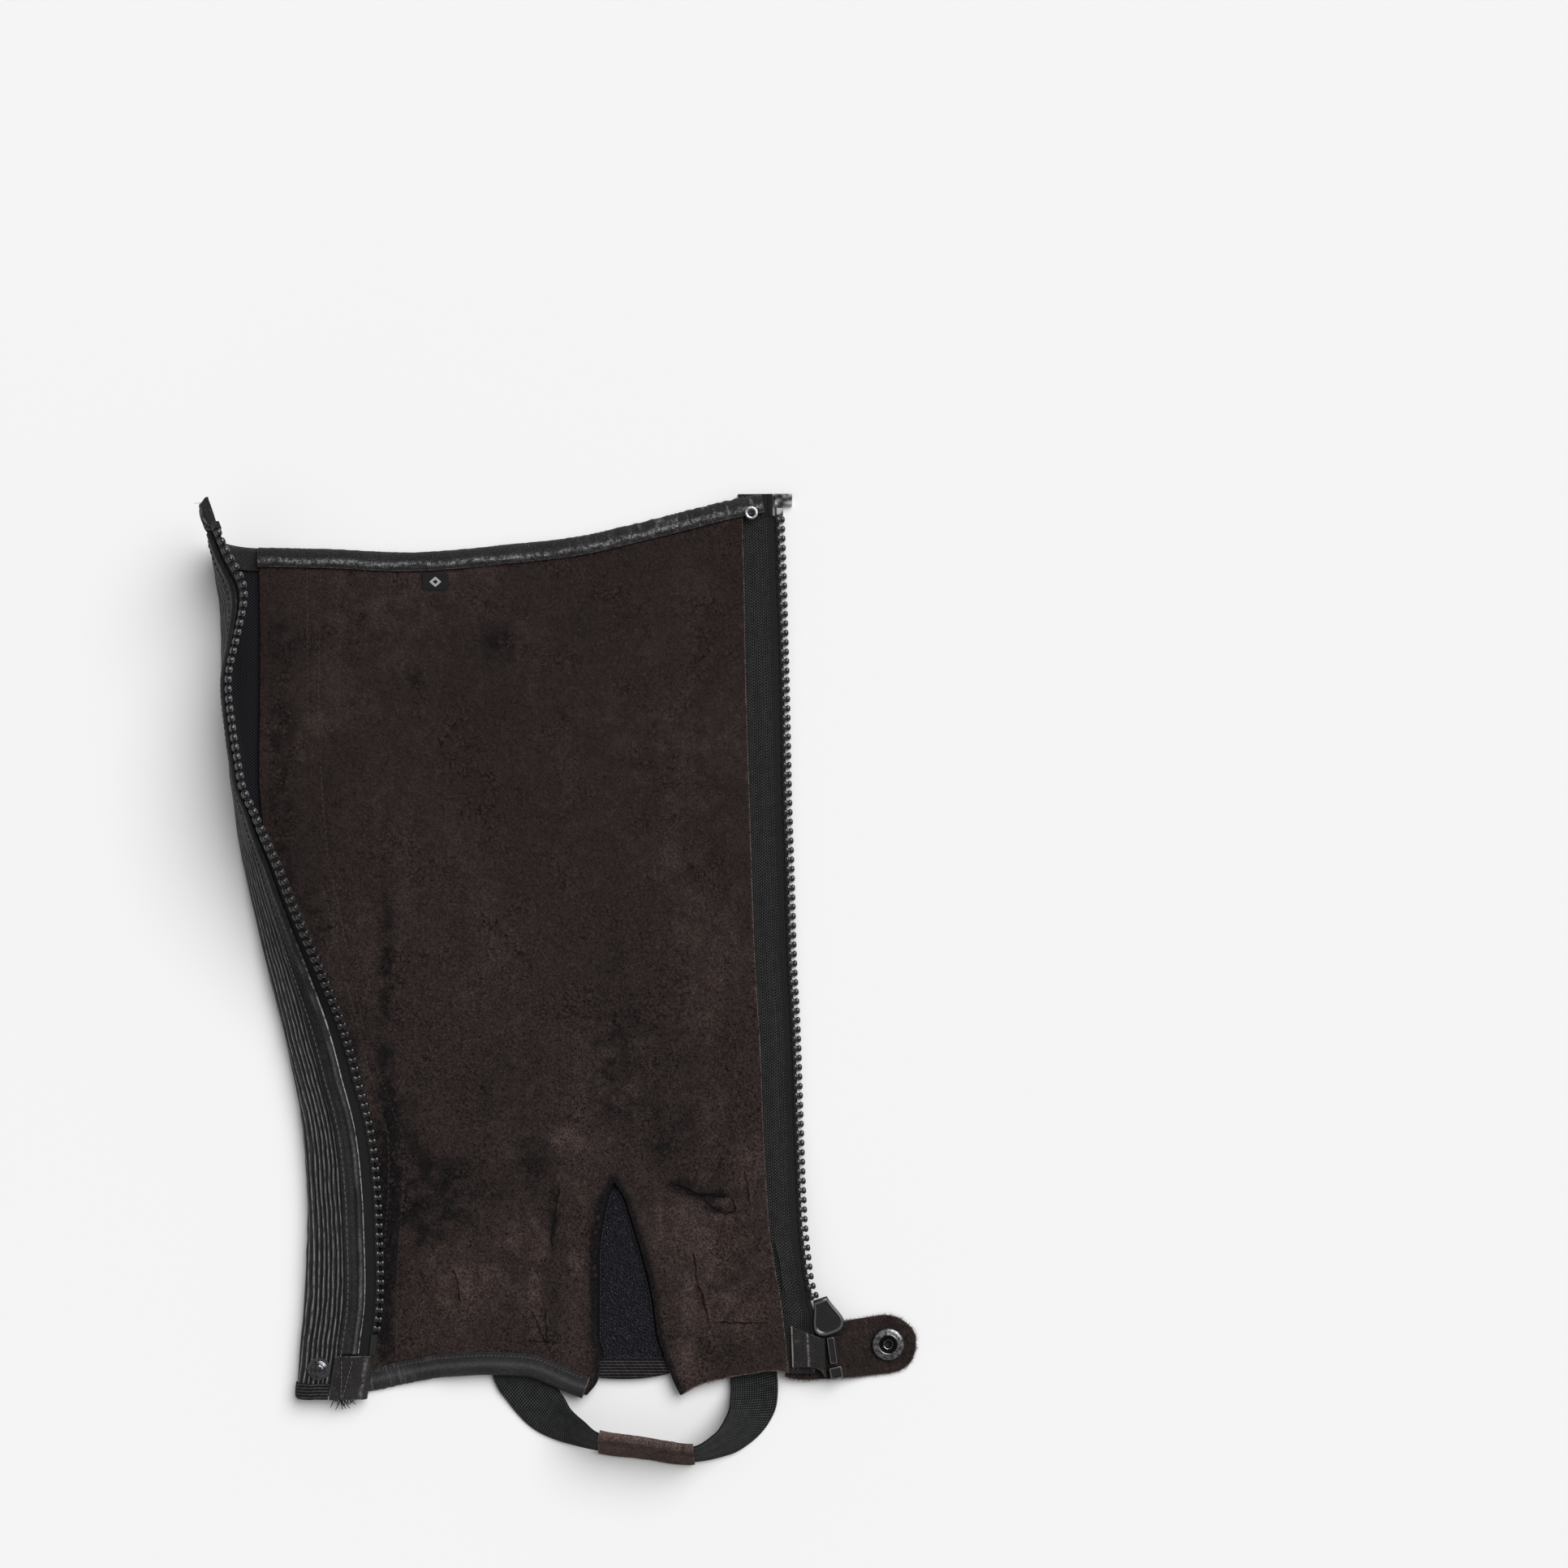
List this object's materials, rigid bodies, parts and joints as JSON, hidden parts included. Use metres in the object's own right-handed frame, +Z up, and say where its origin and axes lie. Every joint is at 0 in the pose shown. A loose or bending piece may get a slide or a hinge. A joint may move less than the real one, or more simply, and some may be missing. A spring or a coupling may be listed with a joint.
{
  "type": "half chap",
  "caption": "Suede-lined leather half chap laid open flat, inner side up, with an elastic side panel folded over, an open side zip, a snap tab and an elastic strap for under the foot.",
  "frame": {"origin": "middle of the footprint, on the surface that the half chap lies on", "axes": "+Y from the ankle to the knee along the half chap, +X from the folded elastic side to the zip side, +Z up from the surface"},
  "size_m": [0.3459, 0.4786, 0.0494],
  "materials": {
    "brown_suede": "napped suede, matt",
    "black_leather": "grained, semi-gloss",
    "black_elastic": "ribbed elastic, matt",
    "zip_tape": "herringbone woven tape",
    "blue_black_knit": "stretch knit, matt",
    "webbing": "elastic webbing, matt",
    "black_plastic": "moulded",
    "clear_plastic": "clear",
    "dark_metal": "black nickel",
    "bright_metal": "nickel",
    "label_cloth": "woven"
  },
  "bodies": {
    "chap": {"leg_panel": "brown_suede", "stretch_panel": "black_elastic", "stretch_top_band": "black_leather", "stretch_hem": "black_elastic", "zip_facing": "black_leather", "zip_tape_left": "zip_tape", "zip_tape_right": "zip_tape", "zip_teeth_left": "black_plastic", "zip_teeth_right": "black_plastic", "tape_end_fold_left": "black_leather", "tape_end_cover_left": "black_leather", "tape_end_cover_right": "black_leather", "top_binding": "black_leather", "ankle_binding": "black_leather", "gusset": "blue_black_knit", "gusset_hem": "blue_black_knit", "stirrup_strap": "webbing", "strap_sleeve": "brown_suede", "snap_tab": "brown_suede", "snap_socket": "bright_metal", "snap_stud": "bright_metal", "stud_washer": "clear_plastic", "top_eyelet": "dark_metal", "size_mark": "label_cloth", "zip_slider": "dark_metal", "zip_box": "black_plastic", "zip_box_pin": "black_plastic", "zip_pin": "black_plastic", "zip_top_stop_left": "black_plastic", "zip_top_stop_right": "black_plastic", "zip_top_clamp_right": "black_plastic"},
    "pull": {"zip_pull": "dark_metal"}
  },
  "joints": [
    {"name": "pull_swing", "type": "hinge", "parent": "chap", "child": "pull", "pos_m": [0.12822, -0.1639, 0.0027], "axis": [0.9455, 0.3256, 0], "range_deg": [0, 150]}
  ]
}
